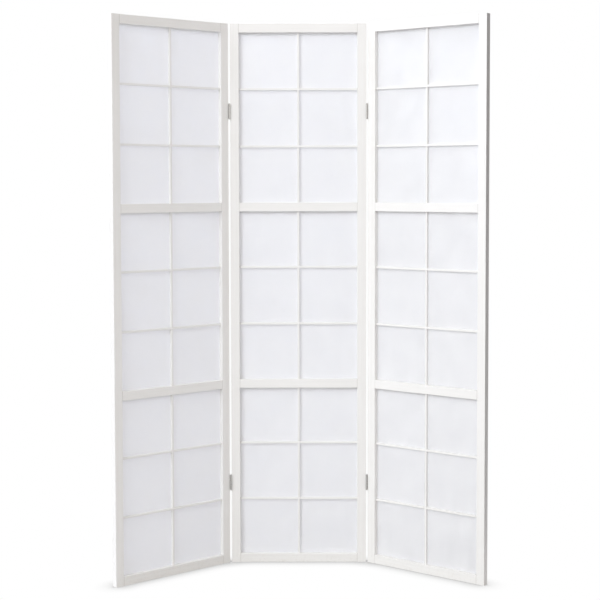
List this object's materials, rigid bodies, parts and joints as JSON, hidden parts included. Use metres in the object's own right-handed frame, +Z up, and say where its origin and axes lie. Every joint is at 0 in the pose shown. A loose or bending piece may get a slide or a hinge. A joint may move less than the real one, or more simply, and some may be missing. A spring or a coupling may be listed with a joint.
{
  "type": "shoji folding screen",
  "caption": "Folding room screen: white wooden lattice panels backed with translucent paper, joined by two-way hinges so that each side panel folds to the front or to the back.",
  "frame": {"origin": "on the floor, at the middle of the centre panel's bottom rail", "axes": "+Z up, +X to the right seen from the front, +Y to the back; the side panels stand folded towards -Y"},
  "size_m": [1.1724, 0.3085, 1.778],
  "materials": {
    "painted_wood": "satin white paint over close-grained softwood, faint brush and grain lines",
    "paper": "translucent white fibre paper, matte, slightly cool, with faint clouding",
    "dowel_wood": "plain beech, unpainted, hidden in the joints",
    "hinge_metal": "satin nickel-plated steel",
    "pin_metal": "bright drawn steel",
    "screw_metal": "nickel-plated countersunk screws"
  },
  "bodies": {
    "centre_panel": {"centre_panel_bottom_rail": "painted_wood", "centre_panel_dowels": "dowel_wood", "centre_panel_hinge_screws": "screw_metal", "centre_panel_left_stile": "painted_wood", "centre_panel_level_bars": "painted_wood", "centre_panel_lower_mid_rail": "painted_wood", "centre_panel_lower_paper": "paper", "centre_panel_middle_paper": "paper", "centre_panel_right_stile": "painted_wood", "centre_panel_slips": "painted_wood", "centre_panel_top_rail": "painted_wood", "centre_panel_upper_mid_rail": "painted_wood", "centre_panel_upper_paper": "paper", "centre_panel_upright_bars": "painted_wood", "left_lower_hinge_centre_leaf": "hinge_metal", "left_upper_hinge_centre_leaf": "hinge_metal", "right_lower_hinge_centre_leaf": "hinge_metal", "right_upper_hinge_centre_leaf": "hinge_metal"},
    "left_links": {"left_lower_hinge_link": "hinge_metal", "left_lower_hinge_pins": "pin_metal", "left_upper_hinge_link": "hinge_metal", "left_upper_hinge_pins": "pin_metal"},
    "left_panel": {"left_lower_hinge_side_leaf": "hinge_metal", "left_panel_bottom_rail": "painted_wood", "left_panel_dowels": "dowel_wood", "left_panel_hinge_screws": "screw_metal", "left_panel_left_stile": "painted_wood", "left_panel_level_bars": "painted_wood", "left_panel_lower_mid_rail": "painted_wood", "left_panel_lower_paper": "paper", "left_panel_middle_paper": "paper", "left_panel_right_stile": "painted_wood", "left_panel_slips": "painted_wood", "left_panel_top_rail": "painted_wood", "left_panel_upper_mid_rail": "painted_wood", "left_panel_upper_paper": "paper", "left_panel_upright_bars": "painted_wood", "left_upper_hinge_side_leaf": "hinge_metal"},
    "right_links": {"right_lower_hinge_link": "hinge_metal", "right_lower_hinge_pins": "pin_metal", "right_upper_hinge_link": "hinge_metal", "right_upper_hinge_pins": "pin_metal"},
    "right_panel": {"right_lower_hinge_side_leaf": "hinge_metal", "right_panel_bottom_rail": "painted_wood", "right_panel_dowels": "dowel_wood", "right_panel_hinge_screws": "screw_metal", "right_panel_left_stile": "painted_wood", "right_panel_level_bars": "painted_wood", "right_panel_lower_mid_rail": "painted_wood", "right_panel_lower_paper": "paper", "right_panel_middle_paper": "paper", "right_panel_right_stile": "painted_wood", "right_panel_slips": "painted_wood", "right_panel_top_rail": "painted_wood", "right_panel_upper_mid_rail": "painted_wood", "right_panel_upper_paper": "paper", "right_panel_upright_bars": "painted_wood", "right_upper_hinge_side_leaf": "hinge_metal"}
  },
  "joints": [
    {"name": "left_front_fold", "type": "hinge", "parent": "centre_panel", "child": "left_links", "pos_m": [-0.2245, -0.0133, 0], "axis": [0, 0, 1], "range_deg": [-40, 140]},
    {"name": "left_back_fold", "type": "hinge", "parent": "left_links", "child": "left_panel", "pos_m": [-0.2416, 0.00708, 0], "axis": [0, 0, -1], "range_deg": [0, 95]},
    {"name": "right_front_fold", "type": "hinge", "parent": "centre_panel", "child": "right_links", "pos_m": [0.2245, -0.0133, 0], "axis": [0, 0, -1], "range_deg": [-38, 57]},
    {"name": "right_back_fold", "type": "hinge", "parent": "right_links", "child": "right_panel", "pos_m": [0.24088, 0.00766, 0], "axis": [0, 0, 1], "range_deg": [0, 180]}
  ]
}
